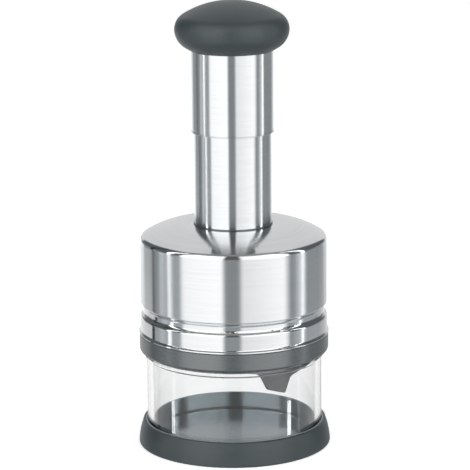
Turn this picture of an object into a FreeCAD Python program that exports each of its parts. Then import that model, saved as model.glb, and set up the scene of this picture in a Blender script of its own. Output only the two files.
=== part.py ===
import FreeCAD, Part
import math
import os

from FreeCAD import Vector

# Plunger food chopper. From the table up it has a rubber-footed base, a clear cup, a plastic
# collar that carries the slotted scraper, a brushed steel housing with a neck tube, and a
# sprung plunger: palm knob, sleeve and rod, with a zigzag blade that turns on the rod's foot.
# Millimetres, +Z up. The origin is the centre of the underside, and -Y is the front.

# Fits and gaps
SLIP = 0.3              # between pieces that lift apart, and round the turning scraper
SNUG = 0.05             # between pieces that are pressed or screwed together
GLIDE = 0.1             # between the neck's glide ring and the sleeve
ROD_FIT = 0.05          # between the rod and its bush
SEAM = 0.2              # hairline between the collar and the steel housing
LEAD = 0.4              # chamfer that leads a hidden piece into its seat

# Clear cup
CUP_R = 43.5
CUP_WALL = 3.0
CUP_HEIGHT = 51.4
CUP_EDGE = 0.6          # rounding of both rims
BEAD_STAND = 0.9        # the bead that the collar rests on
BEAD_HEIGHT = 3.2
CUP_ENTRY = 6.7         # how far the rim reaches up into the collar

# Base
FOOT_RECESS = 0.8
FOOT_PLATE = 1.0
FOOT_RING = 10.0        # width of the ring that touches the table
FOOT_FLARE = 2.2        # how far the foot stands out past the rim
FOOT_BULGE = 0.35       # swell of the skirt between foot and rim
FOOT_ROUND = 0.7
RIM_WALL = 1.75
RIM_HEIGHT = 12.0
RIM_ROUND = 0.6
FLOOR_THICK = 1.8
FLOOR_FLANGE = 0.8      # thin edge of the floor, under the cup's wall
FLOOR_EDGE = 0.5

# Collar
COLLAR_WALL = 3.1
COLLAR_HEIGHT = 9.5
COLLAR_ROUND = 1.9
SPIGOT_INSET = 1.8      # step between the collar's face and its spigot
SPIGOT_WALL = 1.8
SPIGOT_HEIGHT = 5.2
SKIRT_WALL = 1.6
SKIRT_DROP = 1.7        # how far the inner skirt hangs below the outer wall
LIP_RISE = 0.7          # from the collar's lower face to the scraper's ledge
LIP_THICK = 1.0
LIP_STAND = 1.4
RETAINER_THICK = 1.0
RETAINER_SEAT = 0.6

# Finger tongue on the skirt, as (across, height below the skirt's edge, rounding)
TONGUE_TURN = 34.0      # degrees to the right of the front
TONGUE_SIDES = [(-17.0, 0.0, 0.0), (-11.2, -0.7, 5.0), (-7.3, -9.1, 1.0),
                (1.9, -12.0, 1.0), (5.2, -4.0, 3.0), (21.0, 0.0, 0.0)]
TONGUE_ROOT = 1.2       # how far it reaches up into the skirt

# Scraper and blade
SCRAPER_THICK = 2.7
SLOT_GAP = 0.4          # each side of the blade
BLADE_THICK = 0.8
BLADE_GAP = 0.7         # between the blade's tips and the scraper's ledge
BLADE_LANDING = 0.4     # above the floor at full press
BLADE_BEVEL = 1.6       # height of the ground edge
BLADE_BEND = 2.2        # radius of the folds
BLADE_SEAT = 1.2        # depth of its groove in the hub
STROKE = 45.0

# Hub and index cams
HUB_LANDING = 0.6       # above the scraper at full press
HUB_WEB = 0.9           # between the blade's groove and the pocket for the rod's foot
HUB_INSET = 1.2         # hub's rim inside the scraper's ledge
RIB_COUNT = 6
RIB_THICK = 1.8
RIB_HEIGHT = 1.3
CAM_R = 15.0
CAM_BODY = 3.6
CAM_TEETH = 12
TOOTH_HEIGHT = 2.0
TOOTH_GAP = 0.3         # between the crests at rest, so that the blade turns freely
TOOTH_FILL = 0.86       # share of the pitch that a tooth fills at its inner end
TOOTH_INSET = 0.2       # of the teeth from the ring's edges
INDEX_BODY = 2.6
BUSH_HEIGHT = 5.8
BUSH_LIP = 2.0
CAM_SCREWS = 3
CAM_SCREW_R = 1.0
CAM_SCREW_WALL = 0.2    # between a screw's head and the pocket or the teeth
CAM_SCREW_HEAD_R = 1.7
CAM_SCREW_HEAD = 1.0

# Steel housing
SHEET = 0.8
HOUSING_INSET = 0.15    # body of the housing inside its lower band
LIP_FLARE = 0.9
HEM_STRAIGHT = 0.5
HEM_HEIGHT = 1.3
BAND_TOP = 8.8          # heights above the housing's lower edge
GROOVE_LOW = 10.3
GROOVE_HIGH = 13.1
BODY_FOOT = 14.9
GROOVE_DEPTH = 1.6
SHOULDER_ROUND = 3.0
DOME_ROUND = 42.2       # radius of the dome's section
CREST_REACH = 4.4       # from the neck's skin out to the dome's crest
DOME_RISE = 9.75        # from the hub's plate to the crest
SHELL_HOLE_GAP = 0.2
LINER_WALL = 1.8
LINER_PAD_R = 27.0
LINER_PAD_DROP = 4.1    # underside of the pad below the crest
LINER_CORNER = 1.0

# Neck, sleeve and rod
NECK_R = 19.05
NECK_WALL = 0.8
NECK_RISE = 55.0        # above the dome's crest
NECK_FLANGE = 6.0
NECK_LIP = 2.1
SLEEVE_GAP = 0.45
SLEEVE_WALL = 0.6
SLEEVE_LANDING = 0.8    # above the dome's crest at full press
SLEEVE_SEAT = 10.7      # length hidden in the knob
GLIDE_FLANGE = 1.0
GLIDE_DEPTH = 8.0
GLIDE_WALL = 1.7
ROD_R = 4.5
ROD_FOOT_R = 6.5
ROD_FOOT_THICK = 2.0

# Palm knob
KNOB_R = 28.0
KNOB_CROWN = 13.9
KNOB_CROWN_EDGE = 8.3   # radius of the rim arc above the knob's widest line
KNOB_BELLY = 15.3
KNOB_BELLY_EDGE = 9.9   # and below it
KNOB_RUBBER = 2.3
KNOB_CEILING = 1.0      # clearance over the glide ring at full press
KNOB_CORNER = 1.1       # core's wall over the upper corner of its cavity
BOSS_R = 8.0
BOSS_DROP = 8.5
SOCKET_DEPTH = 6.0
SCREW_R = 2.0
SCREW_HEAD_R = 4.0
SCREW_HEAD = 2.0
SCREW_LENGTH = 14.0
SCREW_COVER = 0.8       # under the rubber
WASHER_R = 13.0
WASHER_THICK = 1.0

# Return spring
SPRING_R = 10.2
WIRE_R = 0.9
SPRING_TURNS = 6


def dome_radius(radius, height, edge):
    """Radius of the dome that meets the rim arc tangent and peaks at the given height."""
    return (radius ** 2 + height ** 2 - 2 * radius * edge) / (2 * (height - edge))


def dome_height(radius, height, edge, r):
    """Height of that dome over the widest line, at a distance from the axis."""
    dome = dome_radius(radius, height, edge)
    return math.sqrt(dome ** 2 - r ** 2) - (dome - height)


# Radii that follow
cup_bore = CUP_R - CUP_WALL
socket_r = CUP_R + SLIP
rim_r = socket_r + RIM_WALL
foot_r = rim_r + FOOT_FLARE
collar_r = socket_r + COLLAR_WALL
skirt_r = cup_bore - SLIP
skirt_bore = skirt_r - SKIRT_WALL
ledge_bore = skirt_bore - LIP_STAND
scraper_r = skirt_bore - SLIP
blade_r = ledge_bore - BLADE_GAP
hub_r = ledge_bore - HUB_INSET
cam_screw_reach = ROD_FOOT_R + SLIP + CAM_SCREW_WALL + CAM_SCREW_HEAD_R
tooth_bore = cam_screw_reach + CAM_SCREW_HEAD_R + CAM_SCREW_WALL
spigot_r = collar_r - SPIGOT_INSET
band_r = spigot_r + SLIP + SHEET
housing_r = band_r - HOUSING_INSET
groove_r = band_r - GROOVE_DEPTH
liner_r = groove_r - SHEET - SLIP
liner_bore = liner_r - LINER_WALL
neck_bore = NECK_R - NECK_WALL
neck_fill = neck_bore - SNUG
mouth_r = NECK_R + SHELL_HOLE_GAP
crest_r = NECK_R + CREST_REACH
sleeve_bore = NECK_R + SLEEVE_GAP
sleeve_r = sleeve_bore + SLEEVE_WALL

# Heights that follow, from the table up
floor_low = FOOT_RECESS + FOOT_PLATE
floor_top = floor_low + FLOOR_THICK
cup_low = floor_low + FLOOR_FLANGE
cup_top = cup_low + CUP_HEIGHT
collar_low = cup_top - CUP_ENTRY
collar_top = collar_low + COLLAR_HEIGHT
spigot_top = collar_top + SPIGOT_HEIGHT
skirt_low = collar_low - SKIRT_DROP
ledge_low = collar_low + LIP_RISE
ledge_top = ledge_low + LIP_THICK
scraper_low = ledge_top + SLIP
scraper_top = scraper_low + SCRAPER_THICK
retainer_low = scraper_top + SLIP
blade_low = floor_top + BLADE_LANDING + STROKE
hub_low = scraper_top + HUB_LANDING + STROKE
blade_top = hub_low + BLADE_SEAT
rod_foot = blade_top + HUB_WEB
hub_top = rod_foot + ROD_FOOT_THICK
cam_root = hub_top + CAM_BODY
index_root = cam_root + 2 * TOOTH_HEIGHT + TOOTH_GAP
index_top = index_root + INDEX_BODY
spring_low = index_top + BUSH_HEIGHT
housing_low = collar_top + SEAM
crest_top = hub_top + DOME_RISE
pad_low = crest_top - LINER_PAD_DROP
neck_low = pad_low - NECK_WALL
neck_top = crest_top + NECK_RISE
glide_top = neck_top + GLIDE_FLANGE
sleeve_low = crest_top + SLEEVE_LANDING + STROKE
ceiling = glide_top + STROKE + KNOB_CEILING
core_crown = [size - KNOB_RUBBER for size in (KNOB_R, KNOB_CROWN, KNOB_CROWN_EDGE)]
knob_mid = ceiling + KNOB_CORNER - dome_height(*core_crown, sleeve_bore)
knob_top = knob_mid + KNOB_CROWN
knob_low = knob_mid - dome_height(KNOB_R, KNOB_BELLY, KNOB_BELLY_EDGE, sleeve_r)
sleeve_top = knob_low + SLEEVE_SEAT
boss_low = ceiling - BOSS_DROP
rod_top = boss_low + SOCKET_DEPTH
screw_seat = knob_top - KNOB_RUBBER - SCREW_COVER - SCREW_HEAD
spring_top = boss_low - WASHER_THICK

AXIS = Vector(0, 0, 1)
ORIGIN = Vector(0, 0, 0)


def spot(r, z):
    """A point of a turned profile: distance from the axis, and height."""
    return Vector(r, 0, z)


def softened_edges(corners, closed=True):
    """Edges through corners (point, size): a size rounds the corner, a negative one chamfers it."""
    edges = []
    count = len(corners)
    trimmed = []
    for i, (point, size) in enumerate(corners):
        ends = not closed and i in (0, count - 1)
        if ends or not size:
            trimmed.append((point, None, point))
            continue
        back = (corners[i - 1][0] - point).normalize()
        ahead = (corners[(i + 1) % count][0] - point).normalize()
        half = back.getAngle(ahead) / 2
        setback = size / math.tan(half) if size > 0 else -size
        entry, leave = point + back * setback, point + ahead * setback
        crest = (entry + leave) * 0.5
        if size > 0:
            crest = point + (back + ahead).normalize() * (size / math.sin(half) - size)
        trimmed.append((entry, crest, leave))
    for i, (entry, crest, leave) in enumerate(trimmed):
        if crest and corners[i][1] > 0:
            edges.append(Part.Arc(entry, crest, leave).toShape())
        elif crest:
            edges.append(Part.LineSegment(entry, leave).toShape())
        if closed or i < count - 1:
            following = trimmed[(i + 1) % count][0]
            if following.distanceToPoint(leave) > 1e-6:
                edges.append(Part.LineSegment(leave, following).toShape())
    return edges


def outline(corners, closed=True):
    """A wire from corners (r, z) or (r, z, size), with sizes as in softened_edges."""
    points = [(spot(c[0], c[1]), c[2] if len(c) > 2 else 0) for c in corners]
    return Part.Wire(softened_edges(points, closed))


def spun(edges):
    """A solid of revolution about the upright axis, from the edges of its half section."""
    section = Part.Face(Part.Wire(Part.__sortEdges__(edges)))
    return section.revolve(ORIGIN, AXIS, 360)


def turned(*corners):
    """A solid of revolution from its corners (r, z) or (r, z, size)."""
    return spun(outline(corners).Edges)


def ring(bore, radius, low, high):
    """A plain ring between two radii and two heights."""
    return turned((bore, low), (radius, low), (radius, high), (bore, high))


def pin(radius, low, high):
    """A plain round pin on the axis."""
    return Part.makeCylinder(radius, high - low, Vector(0, 0, low))


def around(shape, degrees):
    """A copy turned about the upright axis."""
    copy = shape.copy()
    copy.rotate(ORIGIN, AXIS, degrees)
    return copy


def knob_half(inset, height, edge, sign):
    """Rim arc and dome arc of the knob, `inset` mm under its skin, upward or downward."""
    radius, height, edge = KNOB_R - inset, height - inset, edge - inset
    dome = dome_radius(radius, height, edge)
    rim_centre = spot(radius - edge, 0)
    dome_centre = spot(0, height - dome)
    heading = (rim_centre - dome_centre).normalize()
    lean = math.atan2(heading.z, heading.x) / 2
    rim_crest = rim_centre + spot(math.cos(lean), math.sin(lean)) * edge
    dome_crest = dome_centre + (heading + AXIS).normalize() * dome
    points = [spot(radius, 0), rim_crest, rim_centre + heading * edge, dome_crest, spot(0, height)]
    points = [spot(p.x, knob_mid + sign * p.z) for p in points]
    return [Part.Arc(*points[:3]).toShape(), Part.Arc(*points[2:]).toShape()]


def knob_body(inset):
    """The whole flattened ball, `inset` mm under the knob's skin."""
    upper = knob_half(inset, KNOB_CROWN, KNOB_CROWN_EDGE, 1)
    lower = knob_half(inset, KNOB_BELLY, KNOB_BELLY_EDGE, -1)
    poles = [spot(0, knob_mid + KNOB_CROWN - inset), spot(0, knob_mid - KNOB_BELLY + inset)]
    return spun(upper + lower + joined(poles))


def joined(points):
    """Straight edges through points."""
    return [Part.LineSegment(a, b).toShape() for a, b in zip(points, points[1:])]


def base_foot():
    """Rubber foot and skirt: a flared, softly bulged wall with a recessed underside."""
    swell_low = spot(foot_r, FOOT_ROUND + FOOT_RECESS)
    swell_high = spot(rim_r, RIM_HEIGHT - RIM_ROUND)
    swell = (swell_low + swell_high) * 0.5 + Vector(FOOT_BULGE, 0, 0)
    crest = spot(rim_r - RIM_ROUND, RIM_HEIGHT)
    turn = RIM_ROUND * (1 - math.sqrt(0.5))
    toe = spot(foot_r - FOOT_ROUND, 0)
    heel = FOOT_ROUND * (1 - math.sqrt(0.5))
    inner = [crest, spot(socket_r, RIM_HEIGHT), spot(socket_r, floor_low), spot(0, floor_low),
             spot(0, FOOT_RECESS), spot(foot_r - FOOT_RING, FOOT_RECESS),
             spot(foot_r - FOOT_RING, 0), toe]
    edges = joined(inner)
    edges.append(Part.Arc(toe, spot(foot_r - heel, heel), spot(foot_r, FOOT_ROUND)).toShape())
    edges.append(Part.LineSegment(spot(foot_r, FOOT_ROUND), swell_low).toShape())
    edges.append(Part.Arc(swell_low, swell, swell_high).toShape())
    edges.append(Part.Arc(swell_high, spot(rim_r - turn, RIM_HEIGHT - turn), crest).toShape())
    return spun(edges)


def base_floor():
    """Hard floor of the base: a shallow plateau inside the cup, with a thin edge under its wall."""
    return turned((0, floor_low), (CUP_R, floor_low), (CUP_R, cup_low), (skirt_r, cup_low),
                  (skirt_r, floor_top, FLOOR_EDGE), (0, floor_top))


def clear_cup():
    """Clear wall, open at both ends, with the bead that carries the collar."""
    bead_r = CUP_R + BEAD_STAND
    bead_low = collar_low - BEAD_HEIGHT
    return turned((cup_bore, cup_low, CUP_EDGE), (CUP_R, cup_low, CUP_EDGE), (CUP_R, bead_low),
                  (bead_r, bead_low + BEAD_STAND), (bead_r, collar_low), (CUP_R, collar_low),
                  (CUP_R, cup_top, -CUP_EDGE), (cup_bore, cup_top, -CUP_EDGE))


def tongue():
    """The tongue's outline, upright in front of the axis and then turned to its side."""
    reach = skirt_r + SKIRT_WALL
    corners = [(Vector(x, -reach, skirt_low + z), rounding) for x, z, rounding in TONGUE_SIDES]
    corners.append((Vector(TONGUE_SIDES[-1][0], -reach, skirt_low + TONGUE_ROOT), 0))
    corners.insert(0, (Vector(TONGUE_SIDES[0][0], -reach, skirt_low + TONGUE_ROOT), 0))
    slab = Part.Face(Part.Wire(softened_edges(corners))).extrude(Vector(0, reach, 0))
    wall = ring(skirt_bore, skirt_r, skirt_low - CUP_HEIGHT, skirt_low + TONGUE_ROOT)
    return around(slab, TONGUE_TURN).common(wall)


def collar_ring():
    """Outer wall, spigot for the housing, groove for the cup's rim, and inner skirt with tongue."""
    roof = cup_top + SLIP
    seat_r = skirt_bore + RETAINER_SEAT
    body = turned((socket_r, collar_low), (collar_r, collar_low, COLLAR_ROUND),
                  (collar_r, collar_top, -LEAD), (spigot_r, collar_top),
                  (spigot_r, spigot_top, -LEAD), (spigot_r - SPIGOT_WALL, spigot_top),
                  (spigot_r - SPIGOT_WALL, collar_top), (seat_r, collar_top),
                  (seat_r, retainer_low), (skirt_bore, retainer_low), (skirt_bore, ledge_top),
                  (ledge_bore, ledge_top), (ledge_bore, ledge_low), (skirt_bore, ledge_low),
                  (skirt_bore, skirt_low), (skirt_r, skirt_low), (skirt_r, roof),
                  (socket_r, roof))
    return body.fuse(tongue()).removeSplitter()


def scraper_retainer():
    """Snap ring over the scraper, in the collar's seat."""
    return ring(ledge_bore, skirt_bore + RETAINER_SEAT - SNUG, retainer_low,
                retainer_low + RETAINER_THICK)


def blade_folds():
    """Centres of the strip's folds and its two tips, each with its turn: 1 is to the left."""
    folds = []
    for degrees, turn in ((-150.0, 0), (137.0, -1), (-109.0, 1)):
        angle = math.radians(degrees)
        reach = blade_r - BLADE_THICK / 2 - (BLADE_BEND if turn else 0)
        folds.append((Vector(math.cos(angle), math.sin(angle), 0) * reach, turn))
    return folds + [(-centre, -turn) for centre, turn in reversed(folds)]


def blade_path(extra):
    """Middle line of the strip: straights that run tangent from fold to fold, tips made longer."""
    folds = blade_folds()
    headings = []
    for (a, a_turn), (b, b_turn) in zip(folds, folds[1:]):
        gap = b - a
        lean = math.asin((b_turn - a_turn) * BLADE_BEND / gap.Length)
        headings.append(math.atan2(gap.y, gap.x) - lean)
    edges = []
    start = folds[0][0] - Vector(math.cos(headings[0]), math.sin(headings[0]), 0) * extra
    for i, heading in enumerate(headings):
        centre, turn = folds[i + 1]
        along = Vector(math.cos(heading), math.sin(heading), 0)
        if not turn:
            edges.append(Part.LineSegment(start, centre + along * extra).toShape())
            continue
        after = headings[i + 1]
        bend = (turn * (after - heading)) % (2 * math.pi)
        entry, crest, leave = [
            centre + Vector(math.sin(angle), -math.cos(angle), 0) * (turn * BLADE_BEND)
            for angle in (heading, heading + turn * bend / 2, after)]
        edges.append(Part.LineSegment(start, entry).toShape())
        edges.append(Part.Arc(entry, crest, leave).toShape())
        start = leave
    return Part.Wire(edges)


def blade_strip(section, extra=0.0):
    """The zigzag strip: its section, corners (across, height), swept along the middle line."""
    path = blade_path(extra)
    start, following = [vertex.Point for vertex in path.OrderedVertexes[:2]]
    across = AXIS.cross(following - start).normalize()
    corners = [start + across * x + AXIS * z for x, z in section]
    return path.makePipeShell([Part.makePolygon(corners + corners[:1])], True, False)


def blade_room(gap, low, high):
    """Room for the strip with a gap all round, between two heights."""
    side = BLADE_THICK / 2 + gap
    return blade_strip([(-side, low), (side, low), (side, high), (-side, high)], gap)


def zigzag_blade():
    """One steel strip folded to and fro, its lower edge ground from both sides."""
    side = BLADE_THICK / 2
    shoulder = blade_low + BLADE_BEVEL
    return blade_strip([(0, blade_low), (side, shoulder), (side, blade_top), (-side, blade_top),
                        (-side, shoulder)])


def scraper_plate():
    """Turning plate whose zigzag slot wipes the blade as it rises."""
    plate = turned((0, scraper_low), (scraper_r, scraper_low, -LEAD), (scraper_r, scraper_top, -LEAD),
                   (0, scraper_top))
    return plate.cut(blade_room(SLOT_GAP, scraper_low - 1, scraper_top + 1))


def cam_tooth(root, rise):
    """One saw tooth from the crown's bore to its rim, standing up (rise > 0) or hanging."""
    width = 2 * tooth_bore * math.tan(math.pi / CAM_TEETH) * TOOTH_FILL
    steep = width / 2 if rise > 0 else -width / 2
    start = tooth_bore + TOOTH_INSET
    corners = [Vector(start, -width / 2, root), Vector(start, width / 2, root),
               Vector(start, steep, root + rise)]
    face = Part.Face(Part.makePolygon(corners + corners[:1]))
    return face.extrude(Vector(CAM_R - TOOTH_INSET - start, 0, 0))


def toothed(body, root, rise):
    """A ring with a full crown of saw teeth on one of its faces."""
    for i in range(CAM_TEETH):
        body = body.fuse(around(cam_tooth(root, rise), 360.0 * i / CAM_TEETH))
    return body


def blade_hub():
    """Round carrier: groove for the blade, pocket for the rod's foot, ribs on its back."""
    hub = turned((0, hub_low), (hub_r, hub_low, -LEAD), (hub_r, hub_top, -LEAD),
                 (0, hub_top))
    rib_reach = hub_r - LEAD - CAM_R - SLIP
    for i in range(RIB_COUNT):
        rib = Part.makeBox(rib_reach, RIB_THICK, RIB_HEIGHT,
                           Vector(CAM_R + SLIP / 2, -RIB_THICK / 2, hub_top))
        hub = hub.fuse(around(rib, 360.0 * i / RIB_COUNT))
    hub = hub.cut(pin(ROD_FOOT_R + SLIP, rod_foot - SNUG, hub_top))
    hub = hub.cut(blade_room(SNUG, hub_low - 1, blade_top))
    for i in range(CAM_SCREWS):
        hub = hub.cut(cam_screw(i, SNUG))
    return hub


def cam_screw(i, gap=0.0):
    """One of the screws that hold the rotor cam on the hub; with a gap, the hole for it."""
    head_low = hub_top + CAM_BODY - CAM_SCREW_HEAD
    shank = pin(CAM_SCREW_R + gap, rod_foot - gap, head_low)
    head = pin(CAM_SCREW_HEAD_R + gap, head_low - gap, hub_top + CAM_BODY)
    screw = shank.fuse(head)
    screw.translate(Vector(cam_screw_reach, 0, 0))
    return around(screw, 360.0 * i / CAM_SCREWS + 180.0 / CAM_TEETH)


def rotor_cam():
    """Toothed ring screwed to the hub over the rod's foot."""
    body = turned((ROD_R + SLIP, hub_top), (CAM_R, hub_top), (CAM_R, cam_root),
                  (ROD_R + SLIP, cam_root))
    for i in range(CAM_SCREWS):
        body = body.cut(cam_screw(i, SNUG))
    return toothed(body, cam_root, TOOTH_HEIGHT)


def index_cam():
    """Fixed toothed ring in the foot of the neck, resting on the neck's inner lip."""
    body = turned((ROD_R + SLIP, index_root), (neck_bore - NECK_LIP + SNUG, index_root),
                  (neck_bore - NECK_LIP + SNUG, pad_low), (neck_fill, pad_low),
                  (neck_fill, index_top), (ROD_R + SLIP, index_top))
    return toothed(body, index_root, -TOOTH_HEIGHT)


def guide_bush():
    """Bush that guides the rod and seats the spring inside a low rim."""
    bore = ROD_R + ROD_FIT
    rim = spring_low + BUSH_LIP
    return turned((bore, index_top, -LEAD), (neck_fill, index_top), (neck_fill, rim, -LEAD),
                  (neck_fill - BUSH_LIP, rim), (neck_fill - BUSH_LIP, spring_low), (bore, spring_low))


def dome_at(r, inset=0.0):
    """Height of the housing's dome at a distance from the axis, `inset` mm under its skin."""
    return crest_top - DOME_ROUND + math.sqrt((DOME_ROUND - inset) ** 2 - (r - crest_r) ** 2)


def dome_arc(r_from, r_to, inset=0.0):
    """The dome's section between two distances from the axis."""
    places = (r_from, (r_from + r_to) / 2, r_to)
    return Part.Arc(*[spot(r, dome_at(r, inset)) for r in places]).toShape()


def housing_shell():
    """Pressed steel shell: flared hem, band, pressed groove, upright wall, shoulder and dome."""
    hem_r = band_r + LIP_FLARE
    round_r = housing_r - SHOULDER_ROUND
    round_z = dome_at(round_r, SHOULDER_ROUND)
    lean = math.asin((round_r - crest_r) / (DOME_ROUND - SHOULDER_ROUND))
    round_centre = spot(round_r, round_z)
    half, full = [round_centre + spot(math.sin(angle), math.cos(angle)) * SHOULDER_ROUND
                  for angle in ((lean + math.pi / 2) / 2, lean)]
    wall = outline([(hem_r, housing_low), (hem_r, housing_low + HEM_STRAIGHT, 0.3),
                    (band_r, housing_low + HEM_HEIGHT, 0.6), (band_r, housing_low + BAND_TOP, 1.2),
                    (groove_r, housing_low + GROOVE_LOW, 1.3),
                    (groove_r, housing_low + GROOVE_HIGH, 1.3),
                    (housing_r, housing_low + BODY_FOOT, 1.2), (housing_r, round_z)], closed=False)
    shoulder = Part.Arc(spot(housing_r, round_z), half, full).toShape()
    skin = Part.Wire(wall.Edges + [shoulder, dome_arc(full.x, mouth_r)])
    return skin.makeOffset2D(SHEET, 0, True, True).revolve(ORIGIN, AXIS, 360)


def inner_liner():
    """Plastic liner under the steel: upright wall, domed roof and the pad that holds the neck."""
    low = spigot_top + SLIP
    over = SHEET + SLIP
    under = over + LINER_WALL
    corner_r = liner_r - LINER_CORNER
    edges = joined([spot(liner_bore, dome_at(liner_bore, under)), spot(liner_bore, low),
                    spot(liner_r, low), spot(liner_r, dome_at(liner_r, over) - LINER_CORNER),
                    spot(corner_r, dome_at(corner_r, over))])
    edges.append(dome_arc(corner_r, mouth_r, over))
    edges += joined([spot(mouth_r, dome_at(mouth_r, over)), spot(mouth_r, pad_low),
                     spot(LINER_PAD_R, pad_low), spot(LINER_PAD_R, dome_at(LINER_PAD_R, under))])
    edges.append(dome_arc(LINER_PAD_R, liner_bore, under))
    return spun(edges)


def neck_tube():
    """Polished neck: flange under the liner's pad, lip for the index cam, plain tube above."""
    return turned((neck_bore - NECK_LIP, neck_low), (NECK_R + NECK_FLANGE, neck_low),
                  (NECK_R + NECK_FLANGE, pad_low), (NECK_R, pad_low), (NECK_R, neck_top),
                  (neck_bore, neck_top), (neck_bore, pad_low), (neck_bore - NECK_LIP, pad_low))


def neck_glide_ring():
    """Plastic ring in the top of the neck; its flange runs in the sleeve."""
    bore = neck_fill - GLIDE_WALL
    return turned((bore, neck_top - GLIDE_DEPTH), (neck_fill, neck_top - GLIDE_DEPTH, -LEAD),
                  (neck_fill, neck_top), (sleeve_bore - GLIDE, neck_top),
                  (sleeve_bore - GLIDE, glide_top, -LEAD), (bore, glide_top))


def plunger_sleeve():
    """Steel sleeve that slides down over the neck."""
    return ring(sleeve_bore, sleeve_r, sleeve_low, sleeve_top)


def knob_core():
    """Hard core: cavity over the neck, socket for the sleeve, boss for the rod."""
    below = knob_mid - KNOB_BELLY
    well = turned((0, below), (sleeve_r + SNUG, below), (sleeve_r + SNUG, sleeve_top + SNUG),
                  (sleeve_bore, sleeve_top + SNUG), (sleeve_bore, ceiling), (BOSS_R, ceiling),
                  (BOSS_R, boss_low), (ROD_R + SNUG, boss_low), (ROD_R + SNUG, rod_top + SNUG),
                  (SCREW_R + SNUG, rod_top + SNUG), (SCREW_R + SNUG, screw_seat),
                  (SCREW_HEAD_R + SLIP, screw_seat), (SCREW_HEAD_R + SLIP, knob_top),
                  (0, knob_top))
    return knob_body(KNOB_RUBBER).cut(well)


def palm_knob():
    """Soft rubber cap moulded round the core, open where the sleeve comes out."""
    cap = knob_body(0).cut(knob_body(KNOB_RUBBER - SNUG))
    return cap.cut(pin(sleeve_r + GLIDE, knob_mid - KNOB_BELLY, knob_mid))


def knob_screw():
    """Screw from the crown of the core into the rod."""
    head = pin(SCREW_HEAD_R, screw_seat, screw_seat + SCREW_HEAD)
    return pin(SCREW_R, screw_seat - SCREW_LENGTH, screw_seat).fuse(head).removeSplitter()


def plunger_rod():
    """Rod with the broad foot that carries the hub, and a screw hole in its top."""
    rod = turned((0, rod_foot), (ROD_FOOT_R, rod_foot), (ROD_FOOT_R, hub_top - SNUG),
                 (ROD_R, hub_top - SNUG), (ROD_R, rod_top, -LEAD), (0, rod_top))
    return rod.cut(pin(SCREW_R + SNUG, screw_seat - SCREW_LENGTH - 1, rod_top + 1))


def spring_washer():
    """Steel washer between the spring and the knob's boss."""
    return ring(ROD_R + SLIP, WASHER_R, spring_top, boss_low)


def biarc(start, along_start, end, along_end):
    """Two arcs that leave and arrive along the given directions and meet tangent."""
    gap = end - start
    both = along_start + along_end
    a = 2 * (along_start.dot(along_end) - 1)
    b = -2 * gap.dot(both)
    reach = (-b - math.sqrt(b * b - 4 * a * gap.dot(gap))) / (2 * a)
    first = start + along_start * reach
    second = end - along_end * reach
    joint = (first + second) * 0.5
    arcs = []
    for tail, knee, head in ((start, first, joint), (joint, second, end)):
        middle = (tail + head) * 0.5
        chord = tail.distanceToPoint(head) / 2
        half = math.atan2(knee.distanceToPoint(middle), chord)
        sag = chord / math.sin(half) * (1 - math.cos(half))
        crest = middle + (knee - middle).normalize() * sag
        arcs.append(Part.Arc(tail, crest, head).toShape())
    return arcs


def return_spring():
    """Open coil spring between the bush and the washer, swept along biarcs of a half turn."""
    low = spring_low + WIRE_R
    high = spring_top - WIRE_R
    pitch = (high - low) / SPRING_TURNS
    climb = pitch / (2 * math.pi)
    spots = []
    for i in range(2 * SPRING_TURNS + 1):
        angle = math.pi * i
        where = Vector(SPRING_R * math.cos(angle), SPRING_R * math.sin(angle), low + climb * angle)
        along = Vector(-SPRING_R * math.sin(angle), SPRING_R * math.cos(angle), climb).normalize()
        spots.append((where, along))
    edges = []
    for (a, a_dir), (b, b_dir) in zip(spots, spots[1:]):
        edges += biarc(a, a_dir, b, b_dir)
    wire = Part.Wire([Part.makeCircle(WIRE_R, *spots[0])])
    print("return_spring: gap between turns", round(pitch - 2 * WIRE_R, 2))
    return Part.Wire(edges).makePipeShell([wire], True, False)


def build():
    """Every piece under its own name."""
    makers = [base_foot, base_floor, clear_cup, collar_ring, scraper_plate, scraper_retainer,
              housing_shell, inner_liner, neck_tube, neck_glide_ring, index_cam, guide_bush,
              plunger_sleeve, palm_knob, knob_core, knob_screw, plunger_rod, return_spring,
              spring_washer, blade_hub, rotor_cam, zigzag_blade]
    pieces = {maker.__name__: maker() for maker in makers}
    for i in range(CAM_SCREWS):
        pieces["cam_screw_%d" % (i + 1)] = cam_screw(i)
    return pieces


os.makedirs("parts", exist_ok=True)
for name, shape in build().items():
    shape.exportStep("parts/%s.step" % name)
    print(name, len(shape.Solids), round(shape.Volume, 1), shape.isValid())
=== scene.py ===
# Plunger food chopper: finishes, finer pieces, studio and camera
import math

import bmesh
import bpy
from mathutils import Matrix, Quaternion, Vector


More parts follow.
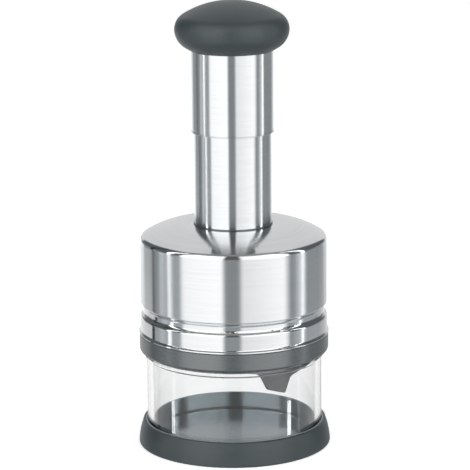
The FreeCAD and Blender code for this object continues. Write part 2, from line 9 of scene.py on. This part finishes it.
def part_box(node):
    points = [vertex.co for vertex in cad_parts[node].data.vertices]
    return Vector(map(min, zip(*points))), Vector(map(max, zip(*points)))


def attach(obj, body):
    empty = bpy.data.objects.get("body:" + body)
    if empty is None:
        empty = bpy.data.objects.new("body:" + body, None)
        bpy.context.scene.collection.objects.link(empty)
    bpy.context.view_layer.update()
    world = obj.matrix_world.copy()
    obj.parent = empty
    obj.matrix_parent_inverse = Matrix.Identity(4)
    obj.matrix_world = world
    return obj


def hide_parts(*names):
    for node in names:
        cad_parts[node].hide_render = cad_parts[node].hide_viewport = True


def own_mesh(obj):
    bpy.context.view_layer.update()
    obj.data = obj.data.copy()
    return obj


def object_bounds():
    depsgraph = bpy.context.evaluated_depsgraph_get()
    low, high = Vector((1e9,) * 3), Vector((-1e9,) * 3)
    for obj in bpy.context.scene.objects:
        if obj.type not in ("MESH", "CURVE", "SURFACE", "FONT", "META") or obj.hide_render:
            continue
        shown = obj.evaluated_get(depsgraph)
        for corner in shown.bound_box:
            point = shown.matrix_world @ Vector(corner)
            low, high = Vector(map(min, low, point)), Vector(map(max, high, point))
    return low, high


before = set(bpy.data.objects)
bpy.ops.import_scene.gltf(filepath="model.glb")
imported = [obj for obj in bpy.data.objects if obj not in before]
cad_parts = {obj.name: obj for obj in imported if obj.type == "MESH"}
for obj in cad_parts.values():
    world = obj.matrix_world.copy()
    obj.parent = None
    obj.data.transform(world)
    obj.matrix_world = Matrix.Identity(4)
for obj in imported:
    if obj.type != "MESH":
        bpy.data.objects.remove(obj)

cad_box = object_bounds()

# The photograph's camera, in metres and degrees
CAMERA_DISTANCE = 1.3
CAMERA_PITCH = 13.1
CAMERA_LEAN = -0.4
AIM = Vector((0.00084, 0.0, 0.105))
LENS = 201.9
SENSOR = 36.0
CLIP = (0.05, 20.0)

# The studio: a ring of panels round the object, further out than any camera, in facets of so many
# degrees. The screens that the neck mirrors stand just inside them
FACET = 3
PANEL_RADIUS = 2.4
PANEL_FOOT = -1.9
PANEL_TOP = 3.8
SCREEN_RADIUS = 2.352
SCREEN_FOOT = -0.45
SCREEN_TOP = -0.15
SCREEN_STRENGTH = 4.0
CUP_LAMP_FOOT = -0.80
CUP_LAMP_TOP = -0.68
FLOOR_RADIUS = 3.0
FLOOR_SIDES = 96
FLOOR_DROP = 0.0001
FLOOR_GREY = (0.80, 0.80, 0.80)
FLOOR_LIFT = 0.62

# The room beyond: its levels at the sides, below and above the horizon, and those of its middle,
# which go round from the front at 0, down under the object, up behind it at 0.5 and back overhead
# to 1. The sides are tinted, and the middle up to the tint's end. The middle gives way to the
# sides over a range of a direction's x, and the horizon is a range of its z
ROOM_LOW = 0.45
ROOM_HIGH = 0.12
ROOM_TINT = (0.94, 1.0, 1.035)
ROOM_TINT_END = 0.4
ROOM_MIDDLE = [(0.0, ROOM_HIGH), (0.02, 0.35), (0.10, 0.39), (0.25, 0.44), (0.36, 0.44),
               (0.40, 0.74), (0.69, 0.77), (0.715, 0.30), (0.80, 0.30), (0.85, ROOM_HIGH)]
ROOM_BESIDE = (0.40, 0.54)
HORIZON = (-0.15, 0.15)
WHITE = (1.0, 1.0, 1.0)

# How fine the finishes are: lines per metre with their breaks round the axis, and grains
BRUSH_LINES = (5200, 2.5)
BRUSH_STREAKS = (1100, 1.2)
COLLAR_LINES = (1600, 1.5)
FLOOR_LINES = (1300, 1.5)
RUBBER_GRAIN = 2600

# Where finishes change on one piece: the housing's shoulder and lower band are polished, the
# tongue below the collar is matt, and the base is glossy inside its rim. Each change has a fade
SHOULDER_FOOT = 0.1025
DOME_HEAD = 0.1125
BAND_HEAD = 0.0725
TONGUE_HEAD = 0.0455
RIM_BORE = 0.0442
FADE = 0.001
RIM_FADE = 0.0002

# Brushed metal spreads its light upright, across the lines
BRUSH_TURN = 0.25

# Round bars: the sleeve's lip and the neck's seam are thin rings, each with its radius, height
# and half its thickness
BAR_SIDES = 12
RING_STEPS = 128
SLEEVE_LIP = (0.0201, 0.15755, 0.0003)
NECK_SEAM = (0.01915, 0.1116, 0.0003)

# The return spring round the rod. Its flat part of a turn
# at each end climbs only by the slant, a share of the height that is spread over all the turns
COIL_RADIUS = 0.0102
COIL_WIRE = 0.0009
COIL_TURNS = 6
COIL_STEPS = 48
COIL_FLAT = 0.7
COIL_SLANT = 0.1


class Wire:
    """An output of a shader node. Arithmetic on values adds Math nodes."""

    def __init__(self, finish, socket):
        self.finish = finish
        self.socket = socket

    def output(self, name):
        """Another output of the same node."""
        return Wire(self.finish, self.socket.node.outputs[name])

    def maths(self, operation, *values):
        settings = {"operation": operation}
        return self.finish.node("ShaderNodeMath", settings, dict(enumerate(values)))

    def __add__(self, other):
        return self.maths("ADD", self, other)

    __radd__ = __add__

    def __sub__(self, other):
        return self.maths("SUBTRACT", self, other)

    def __rsub__(self, other):
        return self.maths("SUBTRACT", other, self)

    def __mul__(self, other):
        return self.maths("MULTIPLY", self, other)

    __rmul__ = __mul__

    def __truediv__(self, other):
        return self.maths("DIVIDE", self, other)

    def __pow__(self, other):
        return self.maths("POWER", self, other)


class Finish:
    """A material, or the world's, under construction."""

    def __init__(self, name, owner=None):
        self.owner = owner or bpy.data.materials.new(name)
        self.owner.use_nodes = True
        self.tree = self.owner.node_tree
        self.tree.nodes.clear()

    def node(self, kind, settings=None, values=None):
        """A new node: its settings, and its sockets' values or links. Gives its first output."""
        made = self.tree.nodes.new(kind)
        for name, setting in (settings or {}).items():
            if name == "stops":
                ramp = made.color_ramp.elements
                while len(ramp) < len(setting):
                    ramp.new(1.0)
                for stop, (place, shade) in zip(ramp, setting):
                    stop.position = place
                    stop.color = (*shade, 1.0)
            else:
                setattr(made, name, setting)
        for name, value in (values or {}).items():
            socket = made.inputs[name]
            if isinstance(value, Wire):
                self.tree.links.new(value.socket, socket)
            elif socket.type == "RGBA" and isinstance(value, tuple):
                socket.default_value = (*value, 1.0)
            else:
                socket.default_value = value
        return Wire(self, made.outputs[0] if made.outputs else None)

    def place(self):
        """Where a point of the surface is, in metres, moving with its piece."""
        return self.node("ShaderNodeTexCoord").output("Object")

    def parts(self, vector):
        """The x, y and z of a vector."""
        split = self.node("ShaderNodeSeparateXYZ", values={0: vector})
        return [split.output(axis) for axis in "XYZ"]

    def height(self):
        return self.parts(self.place())[2]

    def azimuth(self):
        """Degrees round the axis from the front."""
        x, y, _ = self.parts(self.place())
        return x.maths("ARCTAN2", x, y * -1) * (180 / math.pi)

    def vector(self, x, y, z):
        return self.node("ShaderNodeCombineXYZ", values={0: x, 1: y, 2: z})

    def noise(self, vector, scale, detail, settings=None, **values):
        inputs = {"Vector": vector, "Scale": scale, "Detail": detail, **values}
        return self.node("ShaderNodeTexNoise", settings, inputs)

    def blend(self, amount, low, high):
        """A colour between two, by amount. The Mix node's colours are its sockets 6 and 7."""
        made = self.node("ShaderNodeMix", {"data_type": "RGBA"}, {0: amount, 6: low, 7: high})
        return made.output(2)

    def ease(self, value, low, high):
        """0 below low, 1 above high, smooth between."""
        return self.node("ShaderNodeMapRange", {"interpolation_type": "SMOOTHSTEP"},
                         {"Value": value, "From Min": low, "From Max": high})

    def edges(self, width):
        """1 along the edges of the piece, fading to 0 over a width."""
        rounded = self.node("ShaderNodeBevel", {"samples": 4}, {"Radius": width})
        true = self.node("ShaderNodeNewGeometry").output("Normal")
        alike = self.node("ShaderNodeVectorMath", {"operation": "DOT_PRODUCT"},
                          {0: rounded, 1: true})
        return self.ease(1 - alike.output("Value"), 0.02, 0.25)

    def stretch(self, value, low, high):
        """Value's 0 to 1 laid over low to high."""
        return value * (high - low) + low

    def bump(self, height, distance, strength):
        return self.node("ShaderNodeBump", values={"Height": height, "Distance": distance,
                                                   "Strength": strength})

    def shade(self, **values):
        """The finished surface; names are the shader's own with _ for a space."""
        named = {name.replace("_", " "): value for name, value in values.items()}
        return self.cover(self.node("ShaderNodeBsdfPrincipled", values=named))

    def cover(self, surface):
        """The finished material, with this surface."""
        self.node("ShaderNodeOutputMaterial", values={"Surface": surface})
        return self.owner


def turned_lines(finish, per_metre, breaks):
    """Fine lines round the axis, as turning and brushing leave them: shorter for more breaks."""
    x, y, z = finish.parts(finish.place())
    radius = (x * x + y * y + 1e-8) ** 0.5
    along = finish.vector(x / radius * breaks, y / radius * breaks, z * per_metre)
    return finish.noise(along, 1.0, 2.0, {"noise_dimensions": "4D"}, W=radius * per_metre)


def brushed_steel():
    finish = Finish("brushed steel")
    lines = turned_lines(finish, *BRUSH_LINES)
    streaks = turned_lines(finish, *BRUSH_STREAKS)
    smudge = finish.noise(finish.place(), 28.0, 3.0)
    height = finish.height()
    polished = finish.ease(height, SHOULDER_FOOT, SHOULDER_FOOT + FADE)
    polished = polished - finish.ease(height, DOME_HEAD, DOME_HEAD + FADE)
    polished = polished + 1 - finish.ease(height, BAND_HEAD - FADE, BAND_HEAD)
    tone = lines * 0.4 + streaks * 0.6
    brushed = finish.stretch(lines, 0.17, 0.25) + (smudge - 0.5) * 0.04
    return finish.shade(
        Base_Color=finish.blend(tone, (0.67, 0.685, 0.695), (0.82, 0.835, 0.845)),
        Metallic=1.0,
        Roughness=brushed - polished * 0.10,
        Anisotropic=1.0,
        Anisotropic_Rotation=BRUSH_TURN,
        Normal=finish.bump(lines, 0.000004, 0.4),
    )


def plain_steel():
    finish = Finish("plain steel")
    stain = finish.noise(finish.place(), 300.0, 4.0)
    return finish.shade(
        Base_Color=finish.blend(stain, (0.50, 0.50, 0.51), (0.66, 0.66, 0.67)),
        Metallic=1.0,
        Roughness=finish.stretch(stain, 0.22, 0.42),
        Normal=finish.bump(stain, 0.00002, 0.3),
    )


def blade_steel():
    finish = Finish("ground blade steel")
    x, y, z = finish.parts(finish.place())
    ground = finish.noise(finish.vector(x * 300.0, y * 300.0, z * 6000.0), 1.0, 2.0)
    return finish.shade(
        Base_Color=finish.blend(ground, (0.62, 0.63, 0.65), (0.78, 0.79, 0.80)),
        Metallic=1.0,
        Roughness=finish.stretch(ground, 0.12, 0.30),
        Normal=finish.bump(ground, 0.00001, 0.4),
    )


def slate_rubber(name="slate rubber", lined=False):
    """Soft dark rubber. The lined one, of the base, turns glossy inside its rim."""
    finish = Finish(name)
    place = finish.place()
    x, y, z = finish.parts(place)
    grain = finish.noise(place, RUBBER_GRAIN, 3.0)
    cloud = finish.noise(finish.vector(x, y, z * 3.0), 70.0, 3.0)
    # Edges lighter in colour: partly wear, partly a painted highlight along the rims and edges
    wear_and_edge_highlight = finish.edges(0.0008)
    mottle = cloud * 0.5 + grain * 0.5
    colour = finish.blend(mottle, (0.012, 0.026, 0.030), (0.070, 0.090, 0.097))
    colour = finish.blend(wear_and_edge_highlight * 0.4, colour, (0.15, 0.17, 0.175))
    roughness = finish.stretch(grain * 0.4 + cloud * 0.6, 0.30, 0.56)
    relief = grain
    metal = 0.0
    if lined:
        inside = 1 - finish.ease((x * x + y * y) ** 0.5, RIM_BORE - RIM_FADE, RIM_BORE)
        colour = finish.blend(inside, colour, (0.45, 0.52, 0.55))
        roughness = roughness * (1 - inside) + inside * 0.11
        metal = inside * 0.95
        relief = grain * (1 - inside)
    return finish.shade(
        Base_Color=colour,
        Metallic=metal,
        Roughness=roughness,
        Specular_IOR_Level=0.7,
        Normal=finish.bump(relief, 0.00004, 0.35),
    )


def satin_slate():
    """The collar's glossy plastic, and its matt tongue."""
    finish = Finish("satin slate plastic")
    lines = turned_lines(finish, *COLLAR_LINES)
    flow = finish.noise(finish.place(), 35.0, 3.0)
    # Edges lighter in colour: partly wear, partly a painted highlight along the collar's edges
    wear_and_edge_highlight = finish.edges(0.0006)
    matt = 1 - finish.ease(finish.height(), TONGUE_HEAD - FADE, TONGUE_HEAD)
    tone = flow * 0.7 + lines * 0.3
    colour = finish.blend(tone, (0.028, 0.042, 0.048), (0.044, 0.059, 0.066))
    return finish.shade(
        Base_Color=finish.blend(wear_and_edge_highlight * 0.5, colour, (0.14, 0.165, 0.175)),
        Roughness=finish.stretch(lines, 0.25, 0.29) + matt * 0.3,
        IOR=2.0,
        Specular_IOR_Level=0.80,
        Normal=finish.bump(lines, 0.000004, 0.2),
    )


def floor_slate():
    """The base's floor, turned to a dark mirror."""
    finish = Finish("turned dark floor")
    lines = turned_lines(finish, *FLOOR_LINES)
    return finish.shade(
        Base_Color=finish.blend(lines, (0.175, 0.22, 0.24), (0.24, 0.29, 0.315)),
        Metallic=0.9,
        Roughness=finish.stretch(lines, 0.10, 0.20),
        Anisotropic=0.9,
        Anisotropic_Rotation=BRUSH_TURN,
        Normal=finish.bump(lines, 0.000004, 0.3),
    )


def clear_plastic():
    finish = Finish("clear cup plastic")
    haze = finish.noise(finish.place(), 90.0, 3.0)
    return finish.shade(
        Base_Color=finish.blend(haze, (0.905, 0.91, 0.91), (0.94, 0.943, 0.943)),
        Roughness=finish.stretch(haze, 0.0, 0.02),
        Transmission_Weight=1.0,
        IOR=1.49,
    )


def moulded_plastic(name, scale, colours, roughness, relief):
    """Opaque plastic with the fine grain of its mould."""
    finish = Finish(name)
    grain = finish.noise(finish.place(), scale, 2.0)
    return finish.shade(
        Base_Color=finish.blend(grain, *colours),
        Roughness=finish.stretch(grain, *roughness),
        Normal=finish.bump(grain, 0.00002, relief),
    )


# A finish for each material slot of the record, and for two nodes of the base their own
FINISHES = {
    "brushed_steel": brushed_steel(),
    "plain_steel": plain_steel(),
    "blade_steel": blade_steel(),
    "rubber": slate_rubber(),
    "dark_plastic": satin_slate(),
    "clear_plastic": clear_plastic(),
    "inner_plastic": moulded_plastic("inner grey plastic", 1500.0,
                                     [(0.30, 0.31, 0.32), (0.36, 0.37, 0.38)], (0.38, 0.52), 0.3),
    "scraper_plastic": moulded_plastic("white scraper plastic", 1200.0,
                                       [(0.66, 0.67, 0.67), (0.74, 0.75, 0.75)], (0.30, 0.42),
                                       0.25),
}
OWN_FINISHES = {
    "base_foot": slate_rubber("slate rubber, glossy inside", lined=True),
    "base_floor": floor_slate(),
}


def dress_nodes():
    """Every CAD node gets its own finish or that of its slot."""
    for name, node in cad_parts.items():
        for slot in node.material_slots:
            slot.material = OWN_FINISHES.get(name) or FINISHES[slot.material.name.split(".")[0]]


def add_object(name, data):
    made = bpy.data.objects.new(name, data)
    bpy.context.scene.collection.objects.link(made)
    return made


def round_bar(name, body, slot, centres, half, closed):
    """
    A round bar, half its thickness each side of centres that have a radius, an angle and a
    height. It is closed like a ring, or has two ends.
    """
    work = bmesh.new()
    loops = []
    for radius, angle, height in centres:
        loop = []
        for side in range(BAR_SIDES):
            around = 2 * math.pi * side / BAR_SIDES
            out = radius + half * math.cos(around)
            loop.append(work.verts.new((out * math.cos(angle), out * math.sin(angle),
                                        height + half * math.sin(around))))
        loops.append(loop)
    joined = loops + loops[:1] if closed else loops
    for near, far in zip(joined, joined[1:]):
        for side in range(BAR_SIDES):
            after = (side + 1) % BAR_SIDES
            work.faces.new((near[side], far[side], far[after], near[after])).smooth = True
    if not closed:
        work.faces.new(loops[0])
        work.faces.new(loops[-1][::-1])
    mesh = bpy.data.meshes.new(name)
    work.to_mesh(mesh)
    work.free()
    mesh.materials.append(FINISHES[slot])
    made = add_object(name, mesh)
    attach(made, body)
    return made


def ring(name, body, slot, radius, height, half):
    """A thin round ring about the axis."""
    centres = [(radius, 2 * math.pi * step / RING_STEPS, height) for step in range(RING_STEPS)]
    round_bar(name, body, slot, centres, half, closed=True)


def return_coil():
    """The return spring, with flat turns at both ends."""
    low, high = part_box("return_spring")
    length = high.z - low.z
    centres = []
    for step in range(COIL_STEPS * COIL_TURNS + 1):
        turned = step / COIL_STEPS
        climb = min(max((turned - COIL_FLAT) / (COIL_TURNS - 2 * COIL_FLAT), 0.0), 1.0)
        climb = climb * (1 - COIL_SLANT) + turned / COIL_TURNS * COIL_SLANT
        height = low.z + COIL_WIRE + (length - 2 * COIL_WIRE) * climb
        centres.append((COIL_RADIUS, 2 * math.pi * turned, height))
    made = round_bar("return_coil", "plunger", "plain_steel", centres, COIL_WIRE, closed=False)
    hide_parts("return_spring")
    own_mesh(made)


def seen_directly(finish):
    """
    1 for rays straight from the camera, or through something clear, and 0 for those that the base
    mirrors behind the clear cup: they have been mirrored, and been through more than one wall.
    """
    path = finish.node("ShaderNodeLightPath")
    direct = path.output("Is Camera Ray")
    mirrors = path.output("Glossy Depth")
    walls = path.output("Transmission Depth")
    mirrored = mirrors.maths("GREATER_THAN", mirrors, 0.5)
    mirrored = mirrored * walls.maths("GREATER_THAN", walls, 2.5)
    return direct.maths("MAXIMUM", direct, path.output("Is Transmission Ray") * (1 - mirrored))


def curved_screen(name, start, end, low, high, radius):
    """An upright part of a cylinder between two azimuths, in degrees from the front."""
    steps = int((end - start) / FACET)
    corners = []
    for step in range(steps + 1):
        turn = math.radians(start + (end - start) * step / steps)
        for height in (low, high):
            corners.append((radius * math.sin(turn), -radius * math.cos(turn), height))
    faces = [(2 * i, 2 * i + 2, 2 * i + 3, 2 * i + 1) for i in range(steps)]
    mesh = bpy.data.meshes.new(name)
    mesh.from_pydata(corners, [], faces)
    made = add_object(name, mesh)
    made.visible_camera = False
    light = Finish(name)
    mesh.materials.append(light.owner)
    return light


def neck_screen(name, start, end, levels):
    """What the neck and the sleeve mirror at one side: a level at each azimuth."""
    light = curved_screen(name, start, end, SCREEN_FOOT, SCREEN_TOP, SCREEN_RADIUS)
    stops = [((place - start) / (end - start),
              tuple(level * tint / SCREEN_STRENGTH for tint in ROOM_TINT))
             for place, level in levels]
    across = (light.azimuth() - start) / (end - start)
    shade = light.node("ShaderNodeValToRGB", {"stops": stops}, {"Fac": across})
    glow = light.node("ShaderNodeEmission", values={"Color": shade, "Strength": SCREEN_STRENGTH})
    clear = light.node("ShaderNodeBsdfTransparent")
    light.cover(light.node("ShaderNodeMixShader",
                           values={0: seen_directly(light), 1: glow, 2: clear}))


def panel(name, start, end, levels, soft=7.0, low=PANEL_FOOT, high=PANEL_TOP, gain=0.35):
    """
    A curved light between two azimuths. Its edges fade over soft degrees, its level goes from one
    side's to the other's, and above the horizon it gains.
    """
    light = curved_screen(name, start, end, low, high, PANEL_RADIUS)
    turn = light.azimuth()
    inward = turn.maths("MINIMUM", turn - start, end - turn)
    level = light.stretch((turn - start) / (end - start), *levels)
    lift = light.ease(light.height(), *[edge * PANEL_RADIUS for edge in HORIZON]) * gain + 1
    glow = light.node("ShaderNodeEmission", values={"Color": level * lift})
    clear = light.node("ShaderNodeBsdfTransparent")
    shown = light.ease(inward, 0.0, soft) * (1 - seen_directly(light))
    light.cover(light.node("ShaderNodeMixShader", values={0: shown, 1: clear, 2: glow}))


def cup_lamp(name, start, end, lit):
    """A small strong lamp for a pale bar on the cup's front wall. It lights nothing else."""
    panel(name, start, end, (15.0, 15.0), 2.0, CUP_LAMP_FOOT, CUP_LAMP_TOP, gain=0.0)
    bpy.data.objects[name].light_linking.receiver_collection = lit


def studio_floor():
    """Pale floor that keeps the object's shadow. Metal doesn't mirror it."""
    work = bmesh.new()
    bmesh.ops.create_circle(work, cap_ends=True, segments=FLOOR_SIDES, radius=FLOOR_RADIUS)
    mesh = bpy.data.meshes.new("floor")
    work.to_mesh(mesh)
    work.free()
    made = add_object("floor", mesh)
    made.location.z = cad_box[0].z - FLOOR_DROP
    made.visible_glossy = False
    finish = Finish("pale floor")
    matt = finish.node("ShaderNodeBsdfDiffuse", values={"Color": FLOOR_GREY})
    lift = finish.node("ShaderNodeEmission", values={"Strength": FLOOR_LIFT})
    both = finish.node("ShaderNodeAddShader", values={0: matt, 1: lift})
    seen = finish.node("ShaderNodeMixShader", values={0: seen_directly(finish), 1: matt, 2: both})
    mesh.materials.append(finish.cover(seen))


def room_colour(level, tinted=True):
    return tuple(level * (tint if tinted else 1.0) for tint in ROOM_TINT)


def studio_world():
    """Grey room: pale behind the object, dark in front and at the sides, white where it is seen."""
    world = bpy.data.worlds.new("studio")
    bpy.context.scene.world = world
    finish = Finish("studio", world)
    x, y, z = finish.parts(finish.node("ShaderNodeTexCoord").output("Generated"))
    over = y.maths("ARCTAN2", z, y) / (2 * math.pi) + 0.5
    stops = [(place, room_colour(level, place < ROOM_TINT_END)) for place, level in ROOM_MIDDLE]
    middle = finish.node("ShaderNodeValToRGB", {"stops": stops}, {"Fac": over})
    sides = finish.blend(finish.ease(z, *HORIZON), room_colour(ROOM_LOW), room_colour(ROOM_HIGH))
    beside = finish.ease(x.maths("ABSOLUTE", x), *ROOM_BESIDE)
    room = finish.blend(beside, middle, sides)
    colour = finish.blend(seen_directly(finish), room, WHITE)
    sky = finish.node("ShaderNodeBackground", values={"Color": colour})
    finish.node("ShaderNodeOutputWorld", values={"Surface": sky})


def studio_lights():
    """The lights round the object, each between two azimuths from the front, left negative."""
    panel("left softbox", -71, -9, (1.15, 1.30))
    panel("right softbox", 5, 74, (0.92, 1.28))
    panel("left strip", -90, -81, (1.9, 1.9), 4.0, gain=1.0)
    panel("right strip", 89, 98, (1.5, 1.5), 4.0, gain=1.5)
    neck_screen("left of the neck", -175, -73,
                [(-175, 1.3), (-150, 1.2), (-143, 0.9), (-139, 0.22), (-105, 0.22),
                 (-100, 1.2), (-94, 1.2), (-89, 0.28), (-74, 0.28), (-73, 0.6)])
    neck_screen("right of the neck", 65, 175,
                [(65, 0.6), (67, 0.28), (80, 0.28), (85, 1.1), (96, 1.1),
                 (101, 0.22), (139, 0.22), (143, 0.5), (150, 0.8), (175, 1.0)])
    panel("dark edge", -121, -113.5, (0.02, 0.02), 1.5, gain=0.0)
    panel("left wash", -179, -119, (0.95, 0.70), 3.0, high=-0.25, gain=0.0)
    panel("right wash", 122, 179, (0.40, 0.78), 12.0, high=-0.2, gain=0.0)
    lit = bpy.data.collections.new("lit by the cup lamps")
    lit.objects.link(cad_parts["clear_cup"])
    cup_lamp("left cup lamp", -91, -84, lit)
    cup_lamp("right cup lamp", 72, 80, lit)


def camera():
    data = bpy.data.cameras.new("camera")
    data.lens = LENS
    data.sensor_width = SENSOR
    data.clip_start, data.clip_end = CLIP
    made = add_object("camera", data)
    pitch = math.radians(CAMERA_PITCH)
    back = Vector((0.0, -math.cos(pitch), math.sin(pitch)))
    made.location = AIM + back * CAMERA_DISTANCE
    made.rotation_mode = "QUATERNION"
    lean = Quaternion((0.0, 0.0, 1.0), math.radians(CAMERA_LEAN))
    made.rotation_quaternion = (-back).to_track_quat("-Z", "Y") @ lean
    bpy.context.scene.camera = made


dress_nodes()
ring("sleeve_lip", "plunger", "brushed_steel", *SLEEVE_LIP)
ring("neck_seam", "housing", "dark_plastic", *NECK_SEAM)
return_coil()
studio_floor()
studio_world()
studio_lights()
camera()
bpy.context.scene.view_settings.view_transform = "Standard"
